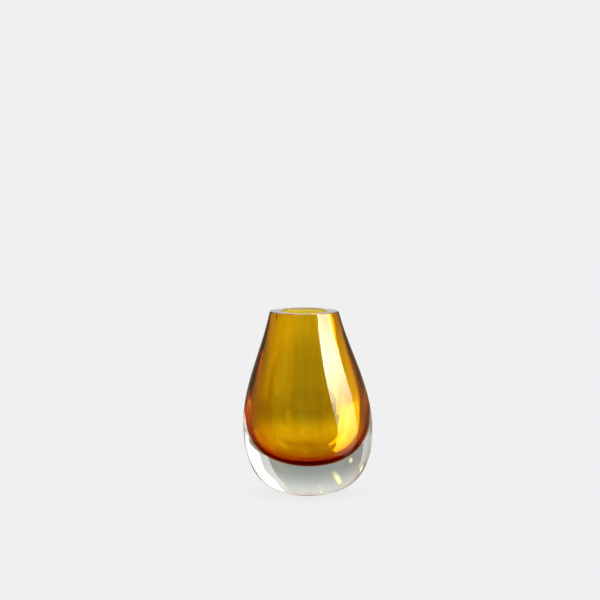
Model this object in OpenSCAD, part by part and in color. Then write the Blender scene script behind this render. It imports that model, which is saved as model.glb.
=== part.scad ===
// Bud vase of cased glass: a thick clear casing blown over a thin amber lining.
// Millimetres, +Z up, origin at the centre of the flat foot.

/* [Overall] */
// Height from the foot to the cut rim
height = 180; // [165:1:198]
// Outside diameter at the widest place
belly_d = 127; // [120:1:138]
// Height of the widest place
belly_h = 66; // [60:1:74]

/* [Foot] */
// Diameter of the ground flat that the vase stands on, with its bevel
foot_d = 40; // [34:1:48]
// Width of the polished bevel round the foot
foot_bevel = 0.8; // [0.3:0.1:1.5]

/* [Rim] */
// Outside diameter of the cut rim
rim_d = 67.5; // [63:0.5:73]
// Width of the polished bevel on the outside of the rim
rim_bevel = 0.7; // [0.3:0.1:1.5]
// Width of the polished bevel on the inside of the mouth
mouth_bevel = 0.5; // [0.2:0.1:0.9]

/* [Hollow] */
// Diameter of the mouth
mouth_d = 44; // [38:1:48]
// Diameter of the hollow at its widest place
hollow_d = 80.5; // [74:0.5:86]
// Height of the hollow's widest place
hollow_h = 88; // [82:1:95]
// Height of the hollow's floor, which is the thickness of the solid base
floor_h = 38.4; // [31:0.2:45]

/* [Lining] */
// Thickness of the amber glass on the sides of the hollow
lining_t = 1.8; // [1.2:0.1:2.6]
// Thickness of the amber glass at the middle of the hollow's floor, where it pooled
lining_floor_t = 3.2; // [2.6:0.1:4]

/* [Smoothness] */
// Steps along each curve of the outline
curve_steps = 26; // [12:1:40]
// Facets round the vase when it is shown as a mesh
round_steps = 144; // [48:12:240]

/* [Hidden] */

foot_r = foot_d / 2;
belly_r = belly_d / 2;
rim_r = rim_d / 2;
mouth_r = mouth_d / 2;
hollow_r = hollow_d / 2;

// How full each curve is: the reach of its handles, as parts of the curve's
// width and height. The base leaves the foot almost level and turns up in one
// round sweep, and the sides run almost straight from the belly to the rim.
base_fullness = [0.37, 0.015, 0.80];
side_fullness = [0.355, 0.30, 0.34];
bowl_fullness = [0.92, 0.54];
neck_fullness = [0.10, 0.68, 0.52];

// Outside of the glass, from the foot up to the belly and on to the rim
base_curve = [
    [foot_r, foot_bevel],
    [foot_r + base_fullness[0] * (belly_r - foot_r), foot_bevel + base_fullness[1] * belly_h],
    [belly_r, belly_h * (1 - base_fullness[2])],
    [belly_r, belly_h]
];
side_curve = [
    [belly_r, belly_h],
    [belly_r, belly_h + side_fullness[0] * (height - belly_h)],
    [rim_r + side_fullness[1] * (belly_r - rim_r), height - side_fullness[2] * (height - belly_h)],
    [rim_r, height]
];

// Wall of the hollow, from the middle of its floor to its widest place and up to the mouth
bowl_curve = [
    [0, floor_h],
    [bowl_fullness[0] * hollow_r, floor_h],
    [hollow_r, hollow_h - bowl_fullness[1] * (hollow_h - floor_h)],
    [hollow_r, hollow_h]
];
neck_curve = [
    [hollow_r, hollow_h],
    [hollow_r, hollow_h + neck_fullness[0] * (height - hollow_h)],
    [mouth_r + neck_fullness[1] * (hollow_r - mouth_r), height - neck_fullness[2] * (height - hollow_h)],
    [mouth_r, height]
];

// Point at t, from 0 to 1, on the cubic curve with the four control points c
function on_curve(c, t) =
    pow(1 - t, 3) * c[0] + 3 * pow(1 - t, 2) * t * c[1]
    + 3 * (1 - t) * t * t * c[2] + pow(t, 3) * c[3];

// Direction of travel at t on the same curve
function along_curve(c, t) =
    let (v = pow(1 - t, 2) * (c[1] - c[0]) + 2 * (1 - t) * t * (c[2] - c[1]) + t * t * (c[3] - c[2]))
    v / norm(v);

// Point at t moved a distance d to the right of the direction of travel
function beside_curve(c, t, d) =
    let (v = along_curve(c, t))
    on_curve(c, t) + d * [v.y, -v.x];

// The last point of the neck curve, moved d outwards and slid back onto the rim's plane
function neck_end(d) =
    let (v = along_curve(neck_curve, 1), p = beside_curve(neck_curve, 1, d))
    p - v * (p.y - height) / v.y;

// The wall of the hollow from the axis to the rim's plane, moved outwards: by floor_d
// at the middle of the floor, which settles to d at the widest place and stays d above it
function hollow_wall(floor_d, d) = concat(
    [for (i = [0 : curve_steps - 1])
        let (t = i / curve_steps)
        beside_curve(bowl_curve, t, d + (floor_d - d) * pow(1 - t, 2))],
    [for (i = [0 : curve_steps - 1]) beside_curve(neck_curve, i / curve_steps, d)],
    [neck_end(d)]
);

// The outside of the casing, from the flat of the foot to the flat of the rim
function outside() =
    let (v = along_curve(side_curve, 1))
    concat(
        [[0, 0], [foot_r - foot_bevel, 0]],
        [for (i = [0 : curve_steps - 1]) on_curve(base_curve, i / curve_steps)],
        [for (i = [0 : curve_steps - 1]) on_curve(side_curve, i / curve_steps)],
        [[rim_r, height] - rim_bevel * v, [rim_r - rim_bevel, height]]
    );

function reversed(p) = [for (i = [len(p) - 1 : -1 : 0]) p[i]];

// Heavy clear glass: outside, flat foot, flat cut rim, and the face that it shares with the lining
module clear_casing() {
    color([0.86, 0.90, 0.88, 0.45])
        rotate_extrude($fn = round_steps)
            polygon(concat(outside(), reversed(hollow_wall(lining_floor_t, lining_t))));
}

// Thin amber glass: a closed skin round the hollow, thickest at its floor and flush with the rim
module amber_lining() {
    mouth = along_curve(neck_curve, 1);
    inner = [for (p = hollow_wall(0, 0)) if (p.y < height - 1e-6) p];
    color([0.80, 0.52, 0.04])
        rotate_extrude($fn = round_steps)
            polygon(concat(
                hollow_wall(lining_floor_t, lining_t),
                [[mouth_r + mouth_bevel, height], [mouth_r, height] - mouth_bevel * mouth],
                reversed(inner)
            ));
}

clear_casing();
amber_lining();
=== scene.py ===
import math
import random

import bmesh
import bpy
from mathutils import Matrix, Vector, noise

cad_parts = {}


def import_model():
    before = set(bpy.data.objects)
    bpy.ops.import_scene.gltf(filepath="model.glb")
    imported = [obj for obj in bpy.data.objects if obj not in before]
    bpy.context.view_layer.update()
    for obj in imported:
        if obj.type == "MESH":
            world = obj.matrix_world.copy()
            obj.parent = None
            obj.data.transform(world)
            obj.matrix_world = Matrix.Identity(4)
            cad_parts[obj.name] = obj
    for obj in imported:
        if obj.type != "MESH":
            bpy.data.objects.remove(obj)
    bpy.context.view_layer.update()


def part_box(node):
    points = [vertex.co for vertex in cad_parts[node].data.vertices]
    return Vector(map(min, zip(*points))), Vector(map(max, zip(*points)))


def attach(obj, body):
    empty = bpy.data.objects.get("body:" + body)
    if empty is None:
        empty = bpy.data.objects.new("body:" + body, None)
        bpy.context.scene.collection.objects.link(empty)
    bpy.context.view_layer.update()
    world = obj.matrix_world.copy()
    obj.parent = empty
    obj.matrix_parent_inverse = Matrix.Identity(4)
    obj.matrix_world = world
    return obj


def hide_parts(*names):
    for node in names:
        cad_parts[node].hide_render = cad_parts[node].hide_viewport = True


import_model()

MM = 0.001

# ---------------------------------------------------------------- sizes
# The outline follows the CAD part: its overall sizes come from the CAD boxes,
# and the rest are the sizes that the CAD part has.

casing_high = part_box("clear_casing")[1]
lining_low, lining_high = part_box("amber_lining")

HEIGHT = casing_high.z
BELLY_R = casing_high.x
BELLY_H = 66.0 * MM
RIM_R = 33.75 * MM
FOOT_R = 20.0 * MM
FOOT_BEVEL = 0.8 * MM
RIM_BEVEL = 0.7 * MM

MOUTH_R = 22.0 * MM
MOUTH_BEVEL = 0.5 * MM
LINING_T = 1.8 * MM
POOLED_T = 3.2 * MM
FLOOR_H = lining_low.z + POOLED_T
HOLLOW_R = lining_high.x - LINING_T
HOLLOW_H = 88.0 * MM
# The lining lies this far inside the wall of the casing
SKIN = 0.02 * MM

# Where the handles of each curve lie, as parts of the curve's width and height
BASE_FULL = (0.37, 0.015, 0.20)
SIDE_FULL = (0.355, 0.30, 0.34)
BOWL_FULL = (0.92, 0.54)
NECK_FULL = (0.10, 0.68, 0.52)

SEGMENTS = 192
CURVE_STEPS = 48
ON_AXIS = 1e-7
# A curve's last points within these distances of the rim are left out, for its edge
SIDE_CUT = 1.5 * MM
WALL_CUT = 1.2 * MM


def cubic(c, t):
    """The point at t, and the unit direction of travel there, on a cubic curve."""
    u = 1 - t
    point = u**3 * c[0] + 3 * u * u * t * c[1] + 3 * u * t * t * c[2] + t**3 * c[3]
    way = u * u * (c[1] - c[0]) + 2 * u * t * (c[2] - c[1]) + t * t * (c[3] - c[2])
    return point, way.normalized()


def run(curve, start_offset=0.0, offset=0.0):
    """Points along a curve up to just before its end, moved outwards by an offset that settles."""
    points = []
    for i in range(CURVE_STEPS):
        t = i / CURVE_STEPS
        point, way = cubic(curve, t)
        aside = offset + (start_offset - offset) * (1 - t) ** 2
        points.append(point + aside * Vector((way.y, -way.x)))
    return points


def corner(end, before, after, radius, steps=4):
    """A rounded corner at end, between the directions towards two neighbours."""
    a = end + radius * (before - end).normalized()
    b = end + radius * (after - end).normalized()
    points = []
    for i in range(steps + 1):
        t = i / steps
        points.append((1 - t) ** 2 * a + 2 * (1 - t) * t * end + t * t * b)
    return points


side_h = HEIGHT - BELLY_H
neck_h = HEIGHT - HOLLOW_H
BASE = [Vector(p) for p in (
    (FOOT_R, FOOT_BEVEL),
    (FOOT_R + BASE_FULL[0] * (BELLY_R - FOOT_R), FOOT_BEVEL + BASE_FULL[1] * BELLY_H),
    (BELLY_R, BASE_FULL[2] * BELLY_H),
    (BELLY_R, BELLY_H),
)]
SIDE = [Vector(p) for p in (
    (BELLY_R, BELLY_H),
    (BELLY_R, BELLY_H + SIDE_FULL[0] * side_h),
    (RIM_R + SIDE_FULL[1] * (BELLY_R - RIM_R), HEIGHT - SIDE_FULL[2] * side_h),
    (RIM_R, HEIGHT),
)]
BOWL = [Vector(p) for p in (
    (0, FLOOR_H),
    (BOWL_FULL[0] * HOLLOW_R, FLOOR_H),
    (HOLLOW_R, HOLLOW_H - BOWL_FULL[1] * (HOLLOW_H - FLOOR_H)),
    (HOLLOW_R, HOLLOW_H),
)]
NECK = [Vector(p) for p in (
    (HOLLOW_R, HOLLOW_H),
    (HOLLOW_R, HOLLOW_H + NECK_FULL[0] * neck_h),
    (MOUTH_R + NECK_FULL[1] * (HOLLOW_R - MOUTH_R), HEIGHT - NECK_FULL[2] * neck_h),
    (MOUTH_R, HEIGHT),
)]


def wall(pooled, even, top):
    """The wall of the hollow, moved outwards: by pooled at its floor and by even from its side up."""
    points = run(BOWL, pooled, even) + run(NECK, even, even)
    points = [p for p in points if p.y < top - WALL_CUT]
    end, way = cubic(NECK, 1)
    end = end + even * Vector((way.y, -way.x))
    points.append(end - way * (end.y - top) / way.y)
    return points


def lathe(bm, outline):
    """A closed surface of revolution, whose outline starts and ends on the axis."""
    turn = 2 * math.pi / SEGMENTS
    rings = []
    for p in outline:
        if p.x < ON_AXIS:
            rings.append([bm.verts.new((0, 0, p.y))])
        else:
            rings.append([bm.verts.new((p.x * math.cos(k * turn), p.x * math.sin(k * turn), p.y))
                          for k in range(SEGMENTS)])
    for a, b in zip(rings, rings[1:]):
        for k in range(SEGMENTS):
            j = (k + 1) % SEGMENTS
            if len(a) == 1:
                bm.faces.new((a[0], b[j], b[k]))
            elif len(b) == 1:
                bm.faces.new((a[k], a[j], b[0]))
            else:
                bm.faces.new((a[k], a[j], b[j], b[k]))
    bmesh.ops.recalc_face_normals(bm, faces=bm.faces)


# ---------------------------------------------------------------- the maker's hand
SWELL = 0.22 * MM
STREAK = 0.45 * MM
FINE_STREAK = 0.20 * MM
SHIFT = 1.0 * MM
LEAN = 0.031
LEAN_FROM = 40 * MM
# How many swells or streaks there are, round the vase and along it
SWELLS = (1.3, 2.5)
STREAKS = (5.0, 1.2)
FINE_STREAKS = (13.0, 1.6)


def fade(distance, reach):
    """From 0 where a distance is 0 or less to 1 where it has come to its reach."""
    return min(1.0, max(0.0, distance / reach))


def uneven(v, size, around, along):
    """A soft unevenness, the same at each place of the vase however often it is asked for."""
    r = max(v.x * v.x + v.y * v.y, 1e-12) ** 0.5
    place = Vector((around * v.x / r, around * v.y / r, along * v.z / HEIGHT))
    return size * noise.noise(place)


def blown(v):
    """Where a point of the true round shape ended up in the blown vase.

    The wall swells and thins a little round the vase, and the body leans over its ground foot.
    """
    r = (v.x * v.x + v.y * v.y) ** 0.5
    free = fade(r, 15 * MM) * fade(HEIGHT - v.z, 12 * MM) * fade(v.z, 15 * MM)
    swell = free * uneven(v, SWELL, *SWELLS)
    moved = v.copy()
    if r > 0:
        moved.x += swell * v.x / r
        moved.y += swell * v.y / r
    moved.x += SHIFT - LEAN * max(0.0, v.z - LEAN_FROM)
    return moved


def ripple(v):
    """Long soft streaks in the thickness of the lining, drawn down from the mouth."""
    r = (v.x * v.x + v.y * v.y) ** 0.5
    free = fade(r, 20 * MM) * fade(HEIGHT - v.z, 10 * MM)
    depth = free * (uneven(v, STREAK, *STREAKS) + uneven(v, FINE_STREAK, *FINE_STREAKS))
    if r == 0:
        return v
    return Vector((v.x + depth * v.x / r, v.y + depth * v.y / r, v.z))


def piece(name, bm, material):
    """A smooth object made of a finished mesh, in one material."""
    mesh = bpy.data.meshes.new(name)
    bm.to_mesh(mesh)
    bm.free()
    for polygon in mesh.polygons:
        polygon.use_smooth = True
    obj = bpy.data.objects.new(name, mesh)
    bpy.context.scene.collection.objects.link(obj)
    mesh.materials.append(material)
    return obj


# ---------------------------------------------------------------- materials
CLEAR_IOR = 1.5
UNBENT_IOR = 1.0
CLEAR_DEPTH = ((0.62, 0.80, 0.70), 4.0)
AMBER_DEPTH = ((0.964, 0.863, 0.0), 1500.0)
CORD_TINT = (0.95, 0.915, 0.82)
CORD_SIZE = 90.0
CORD_STRETCH = 0.12
SCUFF_SIZE = 900.0
POLISHED = 0.0
SCUFFED = (0.02, 0.30)


def add(tree, kind, **inputs):
    """A new node with its inputs set. A space in an input's name is written as an underscore."""
    made = tree.nodes.new(kind)
    for name, value in inputs.items():
        made.inputs[name.replace("_", " ")].default_value = value
    return made


def ramp(tree, source, start, end, low, high):
    """A smooth step of a value, from low at start to high at end."""
    made = add(tree, "ShaderNodeMapRange", From_Min=start, From_Max=end, To_Min=low, To_Max=high)
    made.interpolation_type = "SMOOTHSTEP"
    tree.links.new(source, made.inputs["Value"])
    return made.outputs["Result"]


def blend(tree, factor, low, high):
    """Low where the factor is 0 and high where it is 1. Each is a number or a node's output."""
    made = add(tree, "ShaderNodeMix")
    tree.links.new(factor, made.inputs["Factor"])
    for side, value in (("A", low), ("B", high)):
        if isinstance(value, float):
            made.inputs[side].default_value = value
        else:
            tree.links.new(value, made.inputs[side])
    return made.outputs["Result"]


def times(tree, first, second):
    """The product of two nodes' outputs."""
    made = add(tree, "ShaderNodeMath")
    made.operation = "MULTIPLY"
    tree.links.new(first, made.inputs[0])
    tree.links.new(second, made.inputs[1])
    return made.outputs["Value"]


def shader(name):
    """A new material, with its node tree and its main shader."""
    material = bpy.data.materials.new(name)
    material.use_nodes = True
    return material, material.node_tree, material.node_tree.nodes["Principled BSDF"]


def clear_body(bsdf, ior):
    """Glass whose colour comes from its depth, not from its surface."""
    bsdf.inputs["Base Color"].default_value = (1, 1, 1, 1)
    bsdf.inputs["Transmission Weight"].default_value = 1
    bsdf.inputs["Roughness"].default_value = POLISHED
    bsdf.inputs["IOR"].default_value = ior


def absorb(tree, colour, density):
    """Colour that deepens with the way light goes through the glass."""
    volume = add(tree, "ShaderNodeVolumeAbsorption", Color=(*colour, 1), Density=density)
    tree.links.new(volume.outputs["Volume"], tree.nodes["Material Output"].inputs["Volume"])


def clear_glass():
    """Clear glass with a faint green depth, polished all over but for its scuffed foot."""
    material, tree, bsdf = shader("clear_glass")
    clear_body(bsdf, CLEAR_IOR)
    absorb(tree, *CLEAR_DEPTH)
    place = add(tree, "ShaderNodeTexCoord").outputs["Object"]
    split = add(tree, "ShaderNodeSeparateXYZ")
    tree.links.new(place, split.inputs[0])
    scuffs = add(tree, "ShaderNodeTexNoise", Scale=SCUFF_SIZE, Detail=4.0, Roughness=0.7)
    tree.links.new(place, scuffs.inputs["Vector"])
    worn = ramp(tree, scuffs.outputs["Fac"], 0.45, 0.65, *SCUFFED)
    foot = ramp(tree, split.outputs["Z"], 0.05 * MM, 0.6 * MM, 1.0, 0.0)
    tree.links.new(blend(tree, foot, POLISHED, worn), bsdf.inputs["Roughness"])
    return material


def amber_glass():
    """The lining is fused to the clear glass, so light passes into it without bending.

    Faint upright streaks are left from the gathering, where the colour isn't quite even.
    """
    material, tree, bsdf = shader("amber_glass")
    clear_body(bsdf, UNBENT_IOR)
    absorb(tree, *AMBER_DEPTH)
    place = add(tree, "ShaderNodeTexCoord").outputs["Object"]
    drawn = add(tree, "ShaderNodeMapping", Scale=(1.0, 1.0, CORD_STRETCH))
    tree.links.new(place, drawn.inputs["Vector"])
    cords = add(tree, "ShaderNodeTexNoise", Scale=CORD_SIZE, Detail=3.0, Roughness=0.55)
    tree.links.new(drawn.outputs["Vector"], cords.inputs["Vector"])
    deeper = ramp(tree, cords.outputs["Fac"], 0.46, 0.66, 0.0, 1.0)
    tint = add(tree, "ShaderNodeMixRGB", Color1=(1, 1, 1, 1), Color2=(*CORD_TINT, 1))
    tree.links.new(deeper, tint.inputs["Fac"])
    tree.links.new(tint.outputs["Color"], bsdf.inputs["Base Color"])
    return material


# ---------------------------------------------------------------- the vase
def casing_outline():
    """Outside of the vase, up to the cut rim, then down the wall of the hollow."""
    rim_way = cubic(SIDE, 1)[1]
    rim = Vector((RIM_R, HEIGHT))
    mouth_way = cubic(NECK, 1)[1]
    mouth = Vector((MOUTH_R, HEIGHT))
    middle = Vector((0, 0))
    points = [middle, Vector((FOOT_R * 0.5, 0))]
    points += corner(Vector((FOOT_R - FOOT_BEVEL * 0.2, 0)), middle, BASE[1], FOOT_BEVEL)
    points += run(BASE)[1:]
    points += [p for p in run(SIDE) if p.y < HEIGHT - SIDE_CUT]
    points += corner(rim, rim - rim_way, Vector((0, HEIGHT)), RIM_BEVEL)
    points += corner(mouth, rim, mouth - mouth_way, MOUTH_BEVEL)
    points += wall(0, 0, HEIGHT)[-2::-1]
    return points


# Bubbles in the base: how many, and the least and most in millimetres of their
# distance from the axis, height above the foot and radius
SEED_COUNT = 14
SEED_OUT = (12, 46)
SEED_UP = (9, 24)
SEED_R = (0.35, 0.80)


def seeds(bm):
    """Tiny bubbles left in the thick base, as small closed hollows in the glass."""
    chance = random.Random(7)
    for _ in range(SEED_COUNT):
        turn = chance.uniform(0, 2 * math.pi)
        out = chance.uniform(*SEED_OUT) * MM
        up = chance.uniform(*SEED_UP) * MM
        place = Vector((out * math.cos(turn), out * math.sin(turn), up))
        made = bmesh.ops.create_icosphere(bm, subdivisions=2, radius=chance.uniform(*SEED_R) * MM)
        for v in made["verts"]:
            v.co += place
        faces = {face for v in made["verts"] for face in v.link_faces}
        bmesh.ops.reverse_faces(bm, faces=list(faces))


def casing():
    """The clear glass: one closed solid from its outside to the wall of the hollow."""
    bm = bmesh.new()
    lathe(bm, casing_outline())
    seeds(bm)
    for v in bm.verts:
        v.co = blown(v.co)
    return piece("clear_glass_casing", bm, clear_glass())


def lining():
    """The amber layer: a closed skin just inside the wall of the hollow, thicker at its floor."""
    top = HEIGHT - SKIN
    outer = wall(POOLED_T, LINING_T, top)
    inner = wall(SKIN, SKIN, top)
    bm = bmesh.new()
    lathe(bm, outer + [Vector((MOUTH_R + MOUTH_BEVEL + SKIN, top))] + inner[-2::-1])
    # The vertices of the outer side come first: one on the axis, then a ring for each point
    outside = 1 + (len(outer) - 1) * SEGMENTS
    for i, v in enumerate(bm.verts):
        v.co = blown(ripple(v.co)) if i < outside else blown(v.co)
    return piece("amber_glass_lining", bm, amber_glass())


for made, replaced, slot in (
    (casing(), "clear_casing", "clear_glass"),
    (lining(), "amber_lining", "amber_glass"),
):
    # The floor has a painted shadow in place of the vase's own shadow
    made.visible_shadow = False
    made.visible_diffuse = False
    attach(made, "root")
    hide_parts(replaced)


# ---------------------------------------------------------------- studio
# The room: its backdrop, then what is seen through the glass, then what the glass mirrors
PALE = 0.871
HORIZON = 0.36
OVERHEAD = 0.88
CEILING = 2.6
MIRRORED_ROOM = 0.015
MIRRORED_WALLS = 0.32
MIRRORED_SKY = 0.45
MIRRORED_TINT = (1, 0.62, 0.35)
DOME_SPREAD = 150
DOME_ENERGY = 2.94
# The floor's painted shadows: a start and an end, from the middle of the vase, and the brightness at
# each.
# The first is the painted contact shadow as the camera sees it, and the rest are painted shade as it is
# seen through the glass.
FLOOR_PAINTED_CONTACT_SHADOW = (0.020, 0.075, 0.87, 0.93)
FLOOR_SHADED = (0.035, 0.070, 0.78, 1.0)
FLOOR_PAINTED_SHADE_NEAR = (0.12, 0.26, 1.0, 0.45)
FLOOR_FAR = (0.26, 0.9, 0.0, 1.0)
FLOOR_FAR_GREY = 0.78
FLOOR_R = 30
FLOOR_Z = -0.2 * MM


def rise(degrees):
    """The upward part of a unit vector at this angle above the horizon."""
    return math.sin(math.radians(degrees))


def world():
    """A plain pale backdrop. Glass sees a softly lit room: dim at the horizon, bright overhead."""
    made = bpy.data.worlds.new("studio")
    bpy.context.scene.world = made
    made.use_nodes = True
    tree = made.node_tree
    way = add(tree, "ShaderNodeTexCoord").outputs["Generated"]
    split = add(tree, "ShaderNodeSeparateXYZ")
    tree.links.new(way, split.inputs[0])
    path = add(tree, "ShaderNodeLightPath")
    up = split.outputs["Z"]
    level = ramp(tree, up, rise(8), rise(42), HORIZON, OVERHEAD)
    top = ramp(tree, up, rise(45), rise(75), 0.0, 1.0)
    # It is nearly dark behind the camera
    ahead = ramp(tree, split.outputs["Y"], -0.9, -0.4, 0.1, 1.0)
    through = blend(tree, top, times(tree, level, ahead), CEILING)
    # Only the half of the room behind the vase shines back from the glass
    walls = ramp(tree, up, rise(10), rise(25), MIRRORED_WALLS, MIRRORED_SKY)
    beyond = ramp(tree, split.outputs["Y"], -0.1, 0.5, 0.0, 1.0)
    mirrored = blend(tree, beyond, MIRRORED_ROOM, walls)
    glass = blend(tree, path.outputs["Is Reflection Ray"], through, mirrored)
    strength = blend(tree, path.outputs["Is Camera Ray"], glass, PALE)
    tree.links.new(strength, tree.nodes["Background"].inputs["Strength"])
    warm = add(tree, "ShaderNodeMixRGB", Color1=(1, 1, 1, 1), Color2=(*MIRRORED_TINT, 1))
    tree.links.new(path.outputs["Is Reflection Ray"], warm.inputs["Fac"])
    tree.links.new(warm.outputs["Color"], tree.nodes["Background"].inputs["Color"])
    made.cycles_visibility.diffuse = False


def dome():
    """Even, shadowless light on the floor."""
    light = bpy.data.lights.new("dome", "SUN")
    light.angle = math.radians(DOME_SPREAD)
    light.energy = DOME_ENERGY
    made = bpy.data.objects.new("dome", light)
    made.visible_glossy = False
    made.visible_transmission = False
    made.visible_camera = False
    bpy.context.scene.collection.objects.link(made)


def studio_floor():
    """A plain pale floor, with a painted shadow where the vase stands on it and painted shade round the
    vase as seen through the glass.
    """
    mesh = bpy.data.meshes.new("floor")
    bm = bmesh.new()
    bmesh.ops.create_circle(bm, cap_ends=True, segments=96, radius=FLOOR_R)
    bm.to_mesh(mesh)
    bm.free()
    floor = bpy.data.objects.new("floor", mesh)
    floor.location.z = FLOOR_Z
    floor.visible_glossy = False
    bpy.context.scene.collection.objects.link(floor)
    material, tree, bsdf = shader("pale_floor_painted_shadow")
    place = add(tree, "ShaderNodeNewGeometry").outputs["Position"]
    distance = add(tree, "ShaderNodeVectorMath")
    distance.operation = "LENGTH"
    tree.links.new(place, distance.inputs[0])
    away = distance.outputs["Value"]
    # Painted contact shadow as the camera sees it; painted shade under and round the vase as seen through
    # the glass
    painted_contact_shadow = ramp(tree, away, *FLOOR_PAINTED_CONTACT_SHADOW)
    near = times(tree, ramp(tree, away, *FLOOR_SHADED), ramp(tree, away, *FLOOR_PAINTED_SHADE_NEAR))
    lit = blend(tree, ramp(tree, away, *FLOOR_FAR), near, FLOOR_FAR_GREY)
    path = add(tree, "ShaderNodeLightPath")
    grey = blend(tree, path.outputs["Is Camera Ray"], lit, painted_contact_shadow)
    tree.links.new(grey, bsdf.inputs["Base Color"])
    bsdf.inputs["Roughness"].default_value = 1
    bsdf.inputs["Specular IOR Level"].default_value = 0
    mesh.materials.append(material)


CARD_STEPS = 24


def light_card(name, rings, colour=(1, 1, 1), edge=None, mirrored=True, refracted=True):
    """A glowing card round the vase. Each ring is its radius, height, two azimuths and brightness.

    Azimuths go from the camera's side round by the right, in degrees. With an edge
    brightness, each ring fades to that at its two ends.
    """
    mesh = bpy.data.meshes.new(name)
    bm = bmesh.new()
    glow = bm.verts.layers.float.new("glow")
    grid = []
    for radius, z, left, right, bright in rings:
        row = []
        for i in range(CARD_STEPS + 1):
            a = math.radians(left + (right - left) * i / CARD_STEPS)
            vert = bm.verts.new((radius * math.sin(a), -radius * math.cos(a), z))
            vert[glow] = bright
            if edge is not None:
                vert[glow] = edge + (bright - edge) * math.sin(math.pi * i / CARD_STEPS)
            row.append(vert)
        grid.append(row)
    for a, b in zip(grid, grid[1:]):
        for i in range(CARD_STEPS):
            bm.faces.new((a[i], a[i + 1], b[i + 1], b[i]))
    bm.to_mesh(mesh)
    bm.free()
    card = bpy.data.objects.new(name, mesh)
    bpy.context.scene.collection.objects.link(card)
    material = bpy.data.materials.new(name)
    material.use_nodes = True
    tree = material.node_tree
    tree.nodes.clear()
    level = add(tree, "ShaderNodeAttribute")
    level.attribute_name = "glow"
    emission = add(tree, "ShaderNodeEmission", Color=(*colour, 1))
    tree.links.new(level.outputs["Fac"], emission.inputs["Strength"])
    output = add(tree, "ShaderNodeOutputMaterial")
    tree.links.new(emission.outputs[0], output.inputs["Surface"])
    mesh.materials.append(material)
    card.visible_camera = False
    card.visible_diffuse = False
    card.visible_shadow = False
    card.visible_glossy = mirrored
    card.visible_transmission = refracted


world()
dome()
studio_floor()
# The softbox at the right, and the light it throws on the table, as the outside of the glass mirrors them
light_card("softbox_mirrored", [
    (0.15, 0.001, 40, 62, 0.7), (0.20, 0.001, 43, 77, 1.0), (0.34, 0.001, 49, 88, 1.6),
    (0.70, 0.001, 53, 96, 2.4), (1.3, 0.001, 53, 96, 3.3),
    (1.3, 0.35, 48, 95, 5.8), (1.3, 0.6, 45, 95, 12.0), (1.3, 0.9, 43, 95, 25.0),
    (1.3, 1.3, 40, 95, 42.0), (1.3, 1.9, 36, 95, 45.0),
], colour=(1.0, 1.0, 0.8), refracted=False)
# The same lights as they are seen through the glass
light_card("softbox_refracted", [
    (1.3, 0.0, 60, 84, 4.6), (1.3, 0.3, 58, 86, 3.6), (1.3, 0.7, 50, 95, 1.9), (1.3, 1.3, 45, 95, 1.2),
], mirrored=False)
light_card("table_right", [
    (0.042, 0.001, 82, 112, 2.9), (0.065, 0.001, 76, 122, 3.1), (0.105, 0.001, 62, 134, 2.9),
    (0.15, 0.001, 50, 146, 2.8), (0.236, 0.001, 44, 150, 2.4),
    (0.346, 0.001, 56, 150, 1.7), (0.46, 0.001, 56, 150, 1.2), (0.9, 0.001, 56, 150, 0.85),
    (1.3, 0.001, 56, 150, 0.85),
], mirrored=False)
light_card("table_behind", [
    (0.236, 0.001, 150, 155, 1.5), (0.346, 0.001, 150, 160, 1.15), (0.46, 0.001, 150, 167, 1.0),
    (0.9, 0.001, 150, 171, 0.8),
], mirrored=False)
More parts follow.
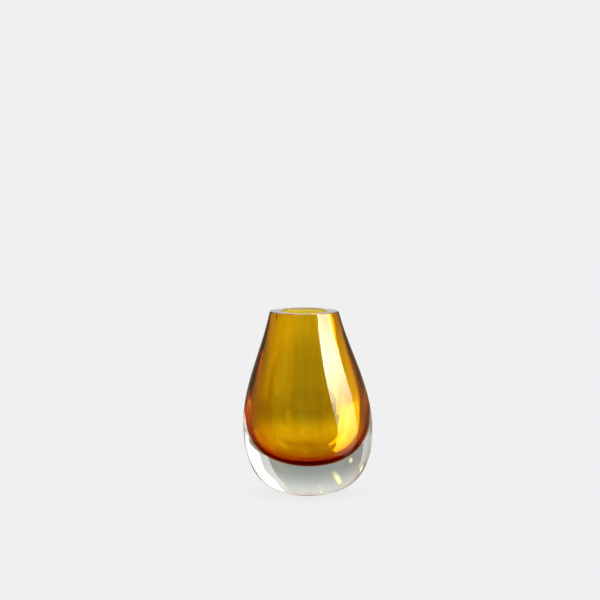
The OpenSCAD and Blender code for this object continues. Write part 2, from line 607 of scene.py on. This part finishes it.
# A tall card at the right, behind, and one at the left: they whiten the sides of the clear base
light_card("side_card", [
    (1.3, 0.0, 108, 124, 1.3), (1.3, 0.11, 107, 126, 1.9), (1.3, 0.17, 106, 142, 2.3),
    (1.3, 0.45, 100, 143, 2.5), (1.3, 0.65, 92, 152, 2.5), (1.3, 1.5, 92, 154, 2.2),
], mirrored=False)
light_card("side_card_edge", [
    (1.3, 0.17, 142, 152, 0.75), (1.3, 0.45, 143, 156, 0.85), (1.3, 0.65, 152, 160, 0.9),
    (1.3, 1.5, 154, 162, 1.0),
], mirrored=False)
light_card("left_card", [(1.3, 0.0, 250, 300, 1.5), (1.3, 1.2, 250, 300, 1.5)], mirrored=False)
light_card("left_card_edge", [(1.3, 0.0, 226, 250, 0.75), (1.3, 0.5, 226, 250, 0.8)], mirrored=False)
# Small bright things behind the vase, which show as yellow glints in its thick base
GLINT = (1.0, 0.98, 0.60)
light_card("glint_low", [
    (1.28, 0.34, 195.0, 198.0, 0.6), (1.28, 0.48, 197.5, 203.5, 1.3), (1.28, 0.65, 202.0, 208.5, 1.6),
    (1.28, 0.90, 208.0, 212.0, 0.7),
], colour=GLINT, edge=0.6, mirrored=False)
light_card("glint_right", [
    (1.28, 0.42, 230.0, 235.0, 0.6), (1.28, 0.58, 233.0, 244.0, 2.6), (1.28, 0.78, 240.0, 249.0, 1.6),
], colour=GLINT, edge=0.6, mirrored=False)
light_card("glint_small", [
    (1.28, 0.17, 207.5, 210.5, 0.5), (1.28, 0.22, 208.0, 212.5, 1.5), (1.28, 0.27, 209.0, 212.5, 0.5),
], colour=GLINT, edge=0.5, mirrored=False)
# A pale strip straight behind, for the flat rim to mirror
light_card("back_card", [(1.3, 0.2, 164, 196, 0.85), (1.3, 0.42, 164, 196, 0.85)], refracted=False)


CAMERA_AT = (-7.5 * MM, -2.6, 0.4625)
LOOK_DOWN = 5.964
SENSOR = 36
LENS = 160


def camera():
    """A long lens that looks a little down on the vase."""
    data = bpy.data.cameras.new("camera")
    data.sensor_width = SENSOR
    data.lens = LENS
    cam = bpy.data.objects.new("camera", data)
    cam.location = CAMERA_AT
    cam.rotation_euler = (math.radians(90 - LOOK_DOWN), 0, 0)
    bpy.context.scene.collection.objects.link(cam)
    bpy.context.scene.camera = cam


camera()
scene = bpy.context.scene
scene.view_settings.view_transform = "Standard"
scene.cycles.max_bounces = 32
scene.cycles.transmission_bounces = 32
scene.cycles.glossy_bounces = 8
scene.cycles.caustics_reflective = False
scene.cycles.caustics_refractive = False
